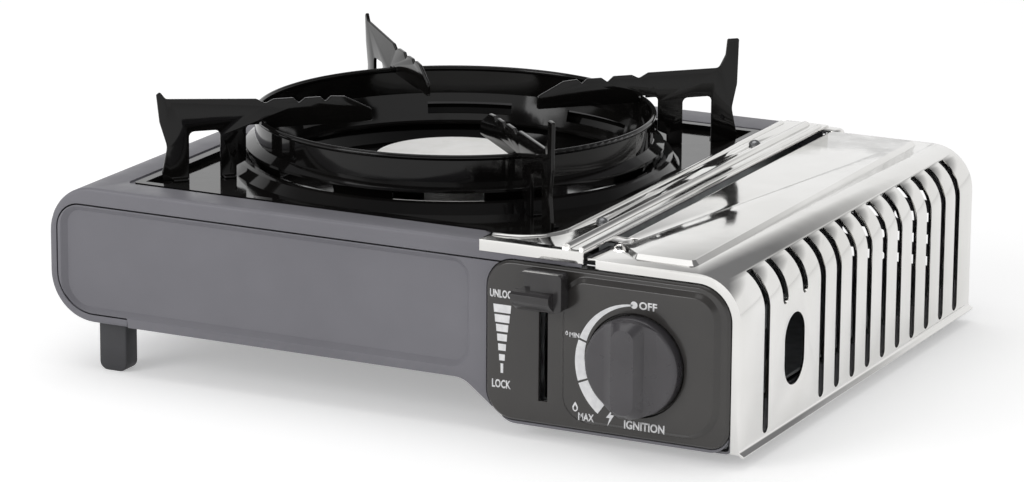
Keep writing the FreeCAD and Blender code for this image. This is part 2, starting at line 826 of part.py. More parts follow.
def arm_corners(horn_top):
    """Outline of one arm as (distance from the burner's centre, height, corner radius)."""
    low = ring_top - 3
    foot = body_top - tray_floor_drop
    leg_out = arm_reach - leg_width
    leg_in = inner_leg_start + inner_leg_width
    window_round = min(2.5, 0.4 * (leg_out - leg_in))
    horn = [
        (arm_reach - 9, arm_top, 2.5), (arm_reach - 5.8, arm_top + 6, 3.0),
        (arm_reach - 5.0, horn_top, 0.8), (arm_reach + 0.6, horn_top, 0.8), (arm_reach, arm_top - 8, 8),
    ]
    if horn_top < long_horn_top:
        horn = [
            (arm_reach - 2, arm_top + 2.6, 2.0), (arm_reach + 0.6, horn_top, 0.8),
            (arm_reach + 2.4, horn_top - 1.2, 0.8), (arm_reach + 1.0, arm_top - 8, 6),
        ]
    teeth = [
        (arm_tip + 0.5, low + 6, 1.5), (52.5, arm_top - 1.5, 1.5),
        (59, arm_top - 1.0, 1.0), (61.5, arm_top - 3.2, 0.8), (64, arm_top - 1.0, 1.0),
        (71, arm_top - 1.0, 1.0), (74, arm_top - 3.2, 0.8), (77, arm_top - 0.6, 1.0),
        (86, arm_top - 0.6, 1.5), (89.5, arm_top - 2.4, 2.0), (94, arm_top, 2.0),
    ]
    return teeth + horn + [
        (arm_reach - 2.5, 98, 8), (arm_reach, foot + 4, 3), (arm_reach, foot, 0),
        (leg_out, foot, 0), (leg_out, ring_top - 2.3, window_round),
        (leg_in, ring_top - 2.3, window_round), (leg_in, foot, 0),
        (inner_leg_start + 4.5, foot, 0), (inner_leg_start + 4.5, foot + 5, 1),
        (inner_leg_start, foot + 7, 1), (inner_leg_start, low + 2, 2),
        (ring_radius + 1.2, low + 2, 0), (ring_radius + 1.2, ring_top + 0.02, 0),
        (ring_radius - 2.2, ring_top + 0.02, 0), (ring_radius - 2.2, low, 0), (arm_tip, low, 1.0),
    ]


def arm(direction, horn_top):
    """One upright arm of the pan support with small bent feet, turned to its direction in degrees."""
    corners = arm_corners(horn_top)
    half = arm_thickness / 2
    plate = upright_plate(corners, -half, half)
    foot = body_top - tray_floor_drop
    leg_out = arm_reach - leg_width
    leg_in = inner_leg_start + inner_leg_width
    for s0, s1 in ((leg_out + 1, arm_reach - foot_tab - 0.5), (inner_leg_start + 5.5, leg_in - 1)):
        tab = box(s0, s1, half - 0.2, half + foot_tab, foot, foot + arm_thickness * 0.7)
        plate = plate.fuse(tab)
    plate = plate.removeSplitter()
    plate.rotate(point(0, 0, 0), axis_z, direction)
    plate.translate(point(burner_x, y_middle, 0))
    return plate


def electrode_point(z):
    angle = math.radians(electrode_angle)
    return point(burner_x + electrode_reach * math.cos(angle), y_middle + electrode_reach * math.sin(angle), z)


def burner_head():
    """Cast cup on a neck that takes the mixing tube from the right."""
    r = burner_radius
    base = burner_top - burner_cap_height
    floor = tube_z - tube_radius - 2
    body = turned([
        (0, floor), (burner_neck, floor), (burner_neck, base - 9), (r - 3, base - 3), (r - 3, base),
        (r - 6, base), (burner_neck - 3, base - 6), (burner_neck - 3, floor + 2), (0, floor + 2),
    ], burner_x, y_middle)
    return body.cut(rod(tube_bore, point(burner_x, y_middle, tube_z), axis_x, burner_neck + 2))


def burner_cap():
    r = burner_radius
    base = burner_top - burner_cap_height
    cap = turned([
        (0, base + 2.5), (r - 5, base + 2.5), (r - 5, base), (r - 1, base), (r, base + 1), (r, base + 3.8),
        (r - 1.6, burner_top - 0.3), (r - 4, burner_top), (0, burner_top),
    ], burner_x, y_middle)
    for i in range(cap_notches):
        cutter = box(r - 6, r + 2, -0.6, 0.6, base - 1, base + 2.0)
        cutter.rotate(point(0, 0, 0), axis_z, 360.0 / cap_notches * i)
        cutter.translate(point(burner_x, y_middle, 0))
        cap = cap.cut(cutter)
    return cap


def mixing_tube():
    """Venturi from the jet to the burner's neck."""
    start = burner_x + burner_neck - 4
    mouth_x = jet_x - 14
    outer = rod(tube_radius, point(start, y_middle, tube_z), axis_x, mouth_x - start)
    mouth = Part.makeCone(tube_radius, tube_radius + 1.0, 8, point(mouth_x, y_middle, tube_z), axis_x)
    inner = rod(tube_bore, point(start - 1, y_middle, tube_z), axis_x, mouth_x + 2 - start)
    mouth_inner = Part.makeCone(tube_bore, tube_radius + 0.2, 8.2, point(mouth_x, y_middle, tube_z), axis_x)
    tube = outer.fuse(mouth).cut(inner).cut(mouth_inner)
    neck = rod(burner_neck + 0.05, point(burner_x, y_middle, tube_z - 20), axis_z, 40)
    return tube.cut(neck).removeSplitter()


def gas_jet():
    """Brass jet screwed through its upright plate, with a fine hole."""
    body = rod(3.2, point(jet_x - 6, y_middle, tube_z), axis_x, 6 + jet_plate)
    head = rod(5, point(jet_x - 5, y_middle, tube_z), axis_x, 5)
    tip = Part.makeCone(3.2, 1.2, 4, point(jet_x - 6, y_middle, tube_z), point(-1, 0, 0))
    bore = rod(0.6, point(jet_x - 11, y_middle, tube_z), axis_x, 20)
    return body.fuse(head).fuse(tip).cut(bore).removeSplitter()


def jet_bracket():
    """Upright plate that holds the jet in line with the mixing tube."""
    floor = bay_bottom + sheet
    near = y_middle - jet_bracket_width / 2
    far = y_middle + jet_bracket_width / 2
    plate = box(jet_x, jet_x + jet_plate, near, far, floor, tube_z + 8)
    foot = box(jet_x, jet_x + jet_bracket_foot, near, far, floor, floor + jet_plate)
    hole = rod(3.22, point(jet_x - 1, y_middle, tube_z), axis_x, jet_plate + 2)
    return plate.fuse(foot).cut(hole).removeSplitter()


def burner_bracket():
    """Bridge from the base pan that carries the burner's neck."""
    top = tube_z - tube_radius - 2
    floor = shell_bottom + sheet
    path = [
        (burner_x - bracket_half, floor, 0), (burner_x - bracket_slope, floor, 2),
        (burner_x - bracket_top, top - sheet, 2), (burner_x + bracket_top, top - sheet, 2),
        (burner_x + bracket_slope, floor, 2), (burner_x + bracket_half, floor, 0),
    ]
    return bent_sheet(path, sheet, y_middle - bracket_depth, y_middle + bracket_depth)


def gas_pipe():
    """Thin pipe from the regulator's underside, low across the bay, and up to the jet."""
    y_cross = regulator_front + port_place
    return tube_along([
        point(jet_x + jet_plate, y_middle, tube_z),
        point(pipe_x, y_middle, tube_z),
        point(pipe_x, y_middle, pipe_low),
        point(pipe_x, y_cross, pipe_low),
        point(knob_x, y_cross, pipe_low),
        point(knob_x, y_cross, knob_z - regulator_radius - 3),
    ], pipe_bend, pipe_radius)


def regulator_body():
    """Cast body in line with the knob, with the cartridge socket in its back face."""
    body = rod(regulator_radius, point(knob_x, regulator_front, knob_z), axis_y, regulator_length)
    y_port = regulator_front + port_place
    boss = rod(regulator_boss, point(knob_x, y_port, knob_z - regulator_radius - 3), axis_z, 10)
    body = body.fuse(boss)
    for side in (-1, 1):
        x = knob_x + side * ear_place
        ear = box(x - ear_half, x + ear_half, bay_wall_back, regulator_front + 3, knob_z + 8, knob_z + 15)
        body = body.fuse(ear)
    y_socket = regulator_front + regulator_length
    socket = rod(socket_radius, point(knob_x, y_socket - socket_depth, knob_z), axis_y, socket_depth + 1)
    stem_hole = rod(shaft_radius + shaft_clearance, point(knob_x, regulator_front - 1, knob_z), axis_y, 4)
    return body.cut(socket).cut(stem_hole).removeSplitter()


def regulator_cap():
    """Round cover of the regulator's diaphragm chamber, on its top."""
    seat = point(knob_x, regulator_front + regulator_length / 2, knob_z + regulator_radius)
    cap = rod(regulator_cap_radius, seat, axis_z, regulator_cap_height)
    return cap.cut(rod(regulator_radius, point(knob_x, regulator_front - 20, knob_z), axis_y, 60))


def bay_wall():
    """Upright plate behind the control panel that carries the regulator and guides the lever."""
    y0 = bay_wall_y
    floor = bay_bottom + sheet
    corners = [
        (step_end_x + 5, floor, 1), (panel_right - 2, floor, 3), (panel_right - 2, panel_top - 2, 10),
        (panel_left + 6, panel_top - 2, 8), (panel_left + 6, shell_bottom + 2, 3),
    ]
    wall = upright_plate(corners, y0, bay_wall_back)
    wall = wall.cut(rod(shaft_radius + shaft_clearance, point(knob_x, y0 - 1, knob_z), axis_y, 4))
    slot_top = lever_slot_bottom + lever_travel + lever_neck + 1.0
    half = lever_slot_width / 2
    wall = wall.cut(box(lever_x - half, lever_x + half, y0 - 1, y0 + 3, lever_slot_bottom, slot_top))
    return wall


def raised_outline(grow):
    """Outline of the panel's raised field in the front view."""
    return [
        (raised_left - grow, raised_bottom - grow, raised_corner + grow),
        (raised_right + grow, raised_bottom - grow, raised_low_corner + grow),
        (raised_right + grow, raised_top + grow, raised_corner + grow),
        (raised_left - grow, raised_top + grow, raised_corner + grow),
    ]


def control_panel():
    y0 = y_front - panel_proud
    y1 = y0 + panel_thickness
    plate = upright_plate(panel_outline(0), y0 + panel_edge, y1)
    edge = pressed_field(panel_outline(0), panel_outline(-panel_edge), on_front(y0 + panel_edge), on_front(y0),
                         point(0, 0, 0))
    plate = plate.fuse(edge)
    big = raised_outline(0)
    small = raised_outline(-raised_bevel)
    field = pressed_field(big, small, on_front(y0), on_front(y0 - raised_height), point(0, 0, 0))
    plate = plate.fuse(field)
    skirt = upright_plate(panel_outline(-skirt_outside), y1, bay_wall_y)
    skirt = skirt.cut(upright_plate(panel_outline(-skirt_inside), y1 - 1, bay_wall_y + 1))
    plate = plate.fuse(skirt)
    recess = rod(knob_radius + knob_clearance, point(knob_x, y0 - 5, knob_z), axis_y, 5)
    plate = plate.cut(recess)
    plate = plate.cut(rod(shaft_radius + 1, point(knob_x, y0 - 5, knob_z), axis_y, 12))
    slot_top = lever_slot_bottom + lever_travel + lever_neck + 1.0
    half = lever_slot_width / 2
    slot = box(lever_x - half, lever_x + half, y0 - 4, bay_wall_y + 1, lever_slot_bottom, slot_top)
    return plate.cut(slot).removeSplitter()


def knob():
    y_tip = y_front - knob_reach
    y_base = y_front - panel_proud - knob_gap
    disc = rod(knob_radius, point(knob_x, y_base - knob_thickness, knob_z), axis_y, knob_thickness)
    disc = disc.makeFillet(1.6, [e for e in disc.Edges if abs(e.BoundBox.YMin - y_base + knob_thickness) < 0.01
                                 and abs(e.BoundBox.YMax - y_base + knob_thickness) < 0.01])
    short = grip_front_length / 2
    reach = grip_length / 2
    y_face = y_base - knob_thickness
    front = rectangle(knob_x - grip_width / 2, knob_x + grip_width / 2, knob_z - short, knob_z + short, grip_round)
    base = rectangle(knob_x - grip_base_width / 2, knob_x + grip_base_width / 2, knob_z - reach, knob_z + reach,
                     grip_round)
    foot = rectangle(knob_x - grip_foot_width / 2, knob_x + grip_foot_width / 2, knob_z - reach, knob_z + reach,
                     grip_round)
    flare_y = y_face - (y_face - y_tip) * 0.3
    bar = pressed_field(front, base, on_front(y_tip), on_front(flare_y), point(0, 0, 0))
    flare = pressed_field(base, foot, on_front(flare_y), on_front(y_face + 1), point(0, 0, 0))
    bar = bar.fuse(flare).common(rod(knob_radius - 0.4, point(knob_x, y_tip, knob_z), axis_y, knob_reach))
    body = disc.fuse(bar)
    body = body.cut(rod(shaft_radius, point(knob_x, y_base - knob_thickness + 2, knob_z), axis_y, knob_thickness))
    return body.removeSplitter()


def valve_stem():
    """Stem from the knob into the regulator, with a flat in the knob."""
    y0 = y_front - panel_proud - knob_gap - knob_thickness + 2
    return rod(shaft_radius, point(knob_x, y0, knob_z), axis_y, regulator_front + 2.5 - y0)


def igniter_cam():
    """Cam on the valve stem whose lobe reaches the igniter's plunger at the end of the turn."""
    y0 = bay_wall_back + 0.5
    disc = rod(cam_radius, point(knob_x, y0, knob_z), axis_y, cam_thickness)
    lobe = box(knob_x, knob_x + cam_reach, y0, y0 + cam_thickness, knob_z - 3, knob_z + 3)
    cam = disc.fuse(lobe).cut(rod(shaft_radius, point(knob_x, y0 - 1, knob_z), axis_y, cam_thickness + 2))
    cam.rotate(point(knob_x, 0, knob_z), axis_y, knob_turn)
    return cam.removeSplitter()


def igniter_body():
    """Piezo igniter, clipped to the bay wall, with a bore for its plunger."""
    y1 = bay_wall_back + igniter_size
    z0 = knob_z - igniter_size / 2
    body = box(igniter_x, igniter_x + igniter_length, bay_wall_back, y1, z0, z0 + igniter_size)
    return body.cut(rod(plunger_radius + 0.1, point(igniter_x - 1, plunger_y(), knob_z), axis_x, 13))


def plunger_y():
    return bay_wall_back + 0.5 + cam_thickness / 2 + 1.0


def igniter_plunger():
    start = knob_x + cam_reach + 0.5
    return rod(plunger_radius, point(start, plunger_y(), knob_z), axis_x, igniter_x + 8 - start)


def igniter_electrode():
    """Ceramic rod through the tray beside the burner, with a spark pin and a clamping collar."""
    low = tube_z - 4
    body = rod(ceramic_radius, electrode_point(low), axis_z, burner_top - 6 - low)
    collar = rod(5, electrode_point(well_floor - sheet - 2), axis_z, 2)
    pin = rod(0.7, electrode_point(burner_top - 6), axis_z, 4)
    return body.fuse(collar).fuse(pin).removeSplitter()


def ignition_wire():
    """Insulated lead from the igniter to the electrode."""
    x0 = igniter_x + igniter_length - 4
    y0 = bay_wall_back + igniter_size / 2
    foot = electrode_point(tube_z - 4)
    return tube_along([
        point(x0, y0, knob_z - igniter_size / 2),
        point(x0, y0, wire_low),
        point(pipe_x - 5, y0, wire_low),
        point(pipe_x - 5, y0, shell_bottom + 8),
        point(foot.x, y0, shell_bottom + 8),
        point(foot.x, foot.y, shell_bottom + 8),
        foot,
    ], 5.0, wire_radius)


def lever():
    """Lock lever: a flag in front of the panel and a neck through its slot."""
    top = lever_slot_bottom + lever_travel + lever_neck
    half = lever_neck_width / 2
    y_tip = y_front - knob_reach + 0.5
    y_face = y_front - panel_proud - raised_height - lever_front_gap
    z0 = top - lever_neck / 2 - lever_flag_height / 2
    y_flag = y_face - lever_flag_thickness
    flag = upright_plate(rectangle(lever_flag_left, lever_flag_right, z0, z0 + lever_flag_height, 2.0), y_flag, y_face)
    notch = box(lever_flag_left - 1, lever_flag_left + lever_notch, y_flag - 1, y_face - 1.5,
                z0 + lever_ledge, z0 + lever_flag_height - 1.2)
    ledge_left = lever_flag_left - 1.5
    profile = [
        point(ledge_left, y_flag + 1, z0 - 0.5), point(ledge_left, y_tip + 1, z0 + lever_ledge_slope - 1.5),
        point(ledge_left, y_tip, z0 + lever_ledge_slope), point(ledge_left, y_tip, z0 + lever_ledge - 1.2),
        point(ledge_left, y_tip + 1, z0 + lever_ledge), point(ledge_left, y_flag + 1, z0 + lever_ledge),
    ]
    ledge = Part.Face(Part.makePolygon(profile + profile[:1])).extrude(point(lever_ledge_width, 0, 0))
    neck = box(lever_x - half, lever_x + half, y_face - 1, bay_wall_back + 1, top - lever_neck, top)
    return flag.cut(notch).fuse(ledge).fuse(neck).removeSplitter()


def lever_slide():
    """Steel tail of the lever, with the pin that drives the carriage."""
    top = lever_slot_bottom + lever_travel + lever_neck
    half = lever_neck_width / 2
    tail = box(lever_x - half, lever_x + half, bay_wall_back + 1, slide_pin_y + 3.5, top - lever_neck - 2, top)
    wing = box(lever_x - half - 4, lever_x + half, bay_wall_back + 1, bay_wall_back + 2.5, top - lever_neck - 2, top)
    pin = rod(slide_pin_radius, point(lever_x + half, slide_pin_y, slide_pin_z), axis_x, 4.2)
    return tail.fuse(wing).fuse(pin).removeSplitter()


def cartridge_carriage():
    """Fork that draws the cartridge's collar forward, with a cam plate beside the lever."""
    low = pipe_low + pipe_radius + 1.5
    y0 = slide_pin_y - 4.5
    y1 = slide_pin_y + carriage_travel + 4.5
    cam_plate = box(cam_plate_x, cam_plate_x + fork_thickness, y0, y1, low, slide_pin_z + 5)
    link = box(cam_plate_x, cam_plate_x + fork_thickness, y0, fork_y + fork_thickness, low, low + 14)
    fork = box(cam_plate_x, knob_x + 26, fork_y, fork_y + fork_thickness, low, knob_z)
    fork = fork.cut(rod(fork_radius, point(knob_x, fork_y - 1, knob_z), axis_y, fork_thickness + 2))
    half = slide_pin_radius + pin_clearance
    slope = math.hypot(lever_travel, carriage_travel)
    track = box(-3, 3, -half, half, 0, slope)
    for z in (0, slope):
        track = track.fuse(rod(half, point(-3, 0, z), axis_x, 6))
    track.rotate(point(0, 0, 0), axis_x, 180 + math.degrees(math.atan2(carriage_travel, lever_travel)))
    track.translate(point(cam_plate_x, slide_pin_y, slide_pin_z))
    return cam_plate.fuse(link).fuse(fork).cut(track).removeSplitter()


def cartridge_cradle():
    """Shallow trough that the cartridge lies in, on the bay's floor."""
    floor = bay_bottom + sheet
    path = [
        (knob_x - cradle_half, floor + cradle_rise, 0), (knob_x - cradle_flat, floor, 1.5),
        (knob_x + cradle_flat, floor, 1.5), (knob_x + cradle_half, floor + cradle_rise, 0),
    ]
    return bent_sheet(path, sheet, fork_y + 8, y_back - 24)


def tall_foot(y):
    """Moulded foot under the burner side."""
    half = tall_foot_width / 2
    x = tall_foot_x
    corners = [
        (x - half, 0, foot_corner), (x + half, 0, foot_corner),
        (x + half, shell_bottom, 0), (x - half, shell_bottom, 0),
    ]
    return upright_plate(corners, y, y + tall_foot_depth)


def low_foot(y):
    return rod(low_foot_radius, point(low_foot_x, y, 0), axis_z, bay_bottom)


def base_screws():
    """Round-headed screws that hold the base pan to the shell and the bay's floor."""
    screws = []
    for y in (y_front + screw_inset, y_back - screw_inset):
        for x, z in ((seam_x + 8, shell_bottom), (step_end_x + 14, bay_bottom)):
            screws.append(rod(screw_head, point(x, y, z - screw_head_height), axis_z, screw_head_height))
    return Part.makeCompound(screws)


parts = {}


def export_all():
    os.makedirs("parts", exist_ok=True)
    for name, shape in parts.items():
        if not shape.isValid():
            print("not valid:", name)
        shape.exportStep("parts/" + name + ".step")


parts["body_shell"] = body_shell()
parts["front_panel"] = front_panel()
parts["back_panel"] = back_panel()
parts["base_pan"] = base_pan()
parts["heat_shield"] = heat_shield()
parts["hinge_strip"] = hinge_strip()
parts["strip_screws"] = strip_screws()
parts["hinge_rod"] = hinge_rod()
parts["cover"] = cover()
parts["drip_tray"] = drip_tray()
parts["ring"] = ring()
parts["arm_front_right"] = arm(-45, long_horn_top)
parts["arm_back_right"] = arm(45, long_horn_top)
parts["arm_back_left"] = arm(135, short_horn_top)
parts["arm_front_left"] = arm(-135, short_horn_top)
parts["burner_head"] = burner_head()
parts["burner_cap"] = burner_cap()
parts["mixing_tube"] = mixing_tube()
parts["gas_jet"] = gas_jet()
parts["burner_bracket"] = burner_bracket()
parts["jet_bracket"] = jet_bracket()
parts["bay_wall"] = bay_wall()
parts["control_panel"] = control_panel()
parts["knob"] = knob()
parts["valve_stem"] = valve_stem()
parts["igniter_cam"] = igniter_cam()
parts["lever"] = lever()
parts["lever_slide"] = lever_slide()
parts["cartridge_carriage"] = cartridge_carriage()
parts["cartridge_cradle"] = cartridge_cradle()
parts["regulator_body"] = regulator_body()
parts["regulator_cap"] = regulator_cap()
parts["gas_pipe"] = gas_pipe()
parts["igniter_body"] = igniter_body()
parts["igniter_plunger"] = igniter_plunger()
parts["igniter_electrode"] = igniter_electrode()
parts["ignition_wire"] = ignition_wire()
parts["foot_front_left"] = tall_foot(y_front + foot_inset)
parts["foot_back_left"] = tall_foot(y_back - foot_inset - tall_foot_depth)
parts["foot_front_right"] = low_foot(y_front + low_foot_inset)
parts["foot_back_right"] = low_foot(y_back - low_foot_inset)
parts["base_screws"] = base_screws()
export_all()
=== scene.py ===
import bpy
import json
import math
from mathutils import Matrix, Vector

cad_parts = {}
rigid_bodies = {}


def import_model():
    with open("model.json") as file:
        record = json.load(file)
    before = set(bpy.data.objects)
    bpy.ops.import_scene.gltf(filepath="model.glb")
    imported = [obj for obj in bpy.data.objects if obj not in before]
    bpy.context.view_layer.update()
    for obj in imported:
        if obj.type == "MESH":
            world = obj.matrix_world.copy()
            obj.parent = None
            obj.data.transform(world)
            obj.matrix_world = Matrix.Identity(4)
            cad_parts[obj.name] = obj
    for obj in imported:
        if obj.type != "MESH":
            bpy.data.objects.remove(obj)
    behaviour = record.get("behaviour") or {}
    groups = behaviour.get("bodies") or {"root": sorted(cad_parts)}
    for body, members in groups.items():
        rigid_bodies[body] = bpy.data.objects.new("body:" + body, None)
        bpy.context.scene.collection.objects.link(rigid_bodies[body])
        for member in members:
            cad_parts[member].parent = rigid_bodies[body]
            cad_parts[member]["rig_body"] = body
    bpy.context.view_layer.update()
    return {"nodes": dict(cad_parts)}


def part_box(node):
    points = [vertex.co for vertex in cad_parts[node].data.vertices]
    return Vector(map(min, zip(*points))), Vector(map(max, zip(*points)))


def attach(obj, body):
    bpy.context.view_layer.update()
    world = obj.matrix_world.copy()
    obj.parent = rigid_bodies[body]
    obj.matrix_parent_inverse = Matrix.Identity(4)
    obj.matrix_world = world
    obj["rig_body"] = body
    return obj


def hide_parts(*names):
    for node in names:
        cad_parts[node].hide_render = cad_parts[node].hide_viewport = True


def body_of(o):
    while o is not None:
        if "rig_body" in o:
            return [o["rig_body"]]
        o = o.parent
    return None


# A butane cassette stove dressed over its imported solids.
# Lengths are in metres, patterns in millimetres.

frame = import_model()

MM = 0.001

# Camera, solved from the photograph's straight edges
CAMERA_PLACE = Vector((0.9142, -1.8410, 0.5877))
CAMERA_BACK = Vector((0.4327, -0.8652, 0.2532)).normalized()
CAMERA_AZIMUTH = math.radians(26.57)
CAMERA_ROLL = math.radians(0.37)
FOCAL_PIXELS = 4664.4
IMAGE_WIDTH = 1024
IMAGE_HEIGHT = 482
PRINCIPAL_X = 500.63
PRINCIPAL_Y = 242.12
SENSOR = 36.0

# Places read from the frame
PANEL_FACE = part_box("control_panel")[0].y
KNOB_LOW, KNOB_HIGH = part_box("knob")
KNOB_X = (KNOB_LOW.x + KNOB_HIGH.x) / 2
KNOB_Z = (KNOB_LOW.z + KNOB_HIGH.z) / 2
RAISED_FIELD = 2.4 * MM
PANEL_PLATE_FACE = PANEL_FACE + RAISED_FIELD

# Finishing sizes
PRINT_PROUD = 0.06 * MM
MERGE_DISTANCE = 0.002 * MM
FLAT_ANGLE = math.radians(0.6)
SMOOTH_ANGLE = math.radians(32)
SHARP_ANGLE = math.radians(35)
EDGE_SEGMENTS = 3
LETTER_BOLDNESS = 0.03
LETTER_CURVE_STEPS = 3
DOT_SIDES = 24
BAND_STEPS = 24
MOULDED_IOR = 1.53


# Nodes and colours

def linear(code):
    """Linear colour of an sRGB hex code."""
    channels = [int(code[i:i + 2], 16) / 255 for i in (1, 3, 5)]
    curve = [c / 12.92 if c <= 0.04045 else ((c + 0.055) / 1.055) ** 2.4 for c in channels]
    return tuple(curve) + (1.0,)


def node(tree, kind, values=None, links=None, **settings):
    """One node with its settings, its constant inputs and the sockets that feed it."""
    made = tree.nodes.new(kind)
    for name, value in settings.items():
        setattr(made, name, value)
    for name, value in (values or {}).items():
        made.inputs[name].default_value = value
    for name, source in (links or {}).items():
        tree.links.new(source, made.inputs[name])
    return made


def blank_material(name):
    """A material with an unset shader: gives it, its tree, the shader and the object's place."""
    material = bpy.data.materials.new(name)
    material.use_nodes = True
    tree = material.node_tree
    tree.nodes.clear()
    shader = node(tree, "ShaderNodeBsdfPrincipled")
    output = node(tree, "ShaderNodeOutputMaterial")
    tree.links.new(shader.outputs["BSDF"], output.inputs["Surface"])
    place = node(tree, "ShaderNodeTexCoord").outputs["Object"]
    return material, tree, shader, place


def per_mm(size):
    """Noise scale for features about this many millimetres across, on coordinates in metres."""
    return 1.0 / (size * MM)


def tint(tree, place, size, low, high, detail=3.0):
    """A colour that drifts between two shades over patches of a real size."""
    noise = node(tree, "ShaderNodeTexNoise", {"Scale": per_mm(size), "Detail": detail},
                 {"Vector": place})
    ramp = node(tree, "ShaderNodeValToRGB", links={"Fac": noise.outputs["Fac"]})
    ramp.color_ramp.elements[0].position = 0.35
    ramp.color_ramp.elements[0].color = linear(low)
    ramp.color_ramp.elements[1].position = 0.65
    ramp.color_ramp.elements[1].color = linear(high)
    return ramp.outputs["Color"]


def bump(tree, place, size, height, strength=1.0, detail=2.0):
    """Bump from noise of a real grain size and height, both in millimetres."""
    noise = node(tree, "ShaderNodeTexNoise", {"Scale": per_mm(size), "Detail": detail},
                 {"Vector": place})
    made = node(tree, "ShaderNodeBump", {"Strength": strength, "Distance": height * MM},
                {"Height": noise.outputs["Fac"]})
    return made.outputs["Normal"]


def rough_between(tree, place, size, low, high):
    """A roughness that drifts between two values over patches of a real size."""
    noise = node(tree, "ShaderNodeTexNoise", {"Scale": per_mm(size), "Detail": 4.0},
                 {"Vector": place})
    spread = node(tree, "ShaderNodeMapRange",
                  {"From Min": 0.3, "From Max": 0.7, "To Min": low, "To Max": high},
                  {"Value": noise.outputs["Fac"]})
    return spread.outputs["Result"]


def powder_coat():
    """Polyester powder coat, sprayed and baked: satin grey with a fine orange peel."""
    material, tree, shader, place = blank_material("powder_coat_grey")
    tree.links.new(tint(tree, place, 55, "#717076", "#78777d"), shader.inputs["Base Color"])
    tree.links.new(rough_between(tree, place, 12, 0.40, 0.50), shader.inputs["Roughness"])
    tree.links.new(bump(tree, place, 1.4, 0.02, 0.5), shader.inputs["Normal"])
    shader.inputs["Specular IOR Level"].default_value = 0.45
    return material


def powder_coat_inside_shaded():
    """The same powder coat, more matt on the inner sheets, its grey darkened there as painted
    shade.
    """
    material, tree, shader, place = blank_material("powder_coat_inner_painted_shade")
    # A darker grey than the outer coat: painted shade for the sheets inside the stove.
    tree.links.new(tint(tree, place, 30, "#606064", "#6a6a6e"), shader.inputs["Base Color"])
    tree.links.new(rough_between(tree, place, 10, 0.52, 0.66), shader.inputs["Roughness"])
    tree.links.new(bump(tree, place, 1.0, 0.03, 0.6), shader.inputs["Normal"])
    return material


def black_enamel():
    """Vitreous enamel, dipped and fired on steel: deep black glass with slow waves."""
    material, tree, shader, place = blank_material("vitreous_enamel_black")
    tree.links.new(tint(tree, place, 40, "#0d0c0c", "#131211"), shader.inputs["Base Color"])
    tree.links.new(rough_between(tree, place, 20, 0.05, 0.10), shader.inputs["Roughness"])
    tree.links.new(bump(tree, place, 14, 0.10, 0.5, 1.0), shader.inputs["Normal"])
    shader.inputs["IOR"].default_value = 1.5
    shader.inputs["Specular IOR Level"].default_value = 0.28
    return material


def polished_cover_steel():
    """Nickel-chrome plate on pressed steel: mirror with a slow ripple from the press."""
    material, tree, shader, place = blank_material("nickel_chrome_plate")
    tree.links.new(tint(tree, place, 60, "#d9d8d5", "#e4e3e1"), shader.inputs["Base Color"])
    shader.inputs["Metallic"].default_value = 1.0
    tree.links.new(rough_between(tree, place, 9, 0.06, 0.12), shader.inputs["Roughness"])
    tree.links.new(bump(tree, place, 16, 0.12, 0.45, 1.0), shader.inputs["Normal"])
    return material


def galvanised_steel():
    """Hot-dip galvanised sheet: dull grey zinc with crystal spangle."""
    material, tree, shader, place = blank_material("galvanised_steel")
    cells = node(tree, "ShaderNodeTexVoronoi", {"Scale": per_mm(7)}, {"Vector": place})
    ramp = node(tree, "ShaderNodeValToRGB", links={"Fac": cells.outputs["Distance"]})
    ramp.color_ramp.elements[0].color = linear("#8b8e90")
    ramp.color_ramp.elements[1].color = linear("#a9acae")
    tree.links.new(ramp.outputs["Color"], shader.inputs["Base Color"])
    shader.inputs["Metallic"].default_value = 1.0
    tree.links.new(rough_between(tree, place, 7, 0.30, 0.48), shader.inputs["Roughness"])
    return material


def turned_steel():
    """Plain carbon steel, drawn or turned: a fine grain and a soft shine."""
    material, tree, shader, place = blank_material("drawn_steel")
    tree.links.new(tint(tree, place, 5, "#8e8f91", "#a2a3a5"), shader.inputs["Base Color"])
    shader.inputs["Metallic"].default_value = 1.0
    tree.links.new(rough_between(tree, place, 3, 0.24, 0.38), shader.inputs["Roughness"])
    tree.links.new(bump(tree, place, 0.8, 0.01, 0.4), shader.inputs["Normal"])
    return material


def cast_burner_alloy():
    """Pressure-cast aluminium, blasted: pale, dull and finely pitted."""
    material, tree, shader, place = blank_material("cast_aluminium")
    tree.links.new(tint(tree, place, 9, "#f3f2ef", "#faf9f7"), shader.inputs["Base Color"])
    shader.inputs["Metallic"].default_value = 0.15
    tree.links.new(rough_between(tree, place, 4, 0.42, 0.58), shader.inputs["Roughness"])
    tree.links.new(bump(tree, place, 0.9, 0.05, 0.6), shader.inputs["Normal"])
    return material


def turned_brass():
    """Free-cutting brass, turned: warm yellow with a shine that varies slightly."""
    material, tree, shader, place = blank_material("turned_brass")
    tree.links.new(tint(tree, place, 4, "#a88a4c", "#c2a25c"), shader.inputs["Base Color"])
    shader.inputs["Metallic"].default_value = 1.0
    tree.links.new(rough_between(tree, place, 2, 0.22, 0.34), shader.inputs["Roughness"])
    return material


def zinc_casting():
    """Die-cast zinc: even grey with a faint sandy skin."""
    material, tree, shader, place = blank_material("die_cast_zinc")
    tree.links.new(tint(tree, place, 8, "#86888a", "#97999b"), shader.inputs["Base Color"])
    shader.inputs["Metallic"].default_value = 0.9
    tree.links.new(rough_between(tree, place, 3, 0.38, 0.5), shader.inputs["Roughness"])
    tree.links.new(bump(tree, place, 0.7, 0.03, 0.5), shader.inputs["Normal"])
    return material


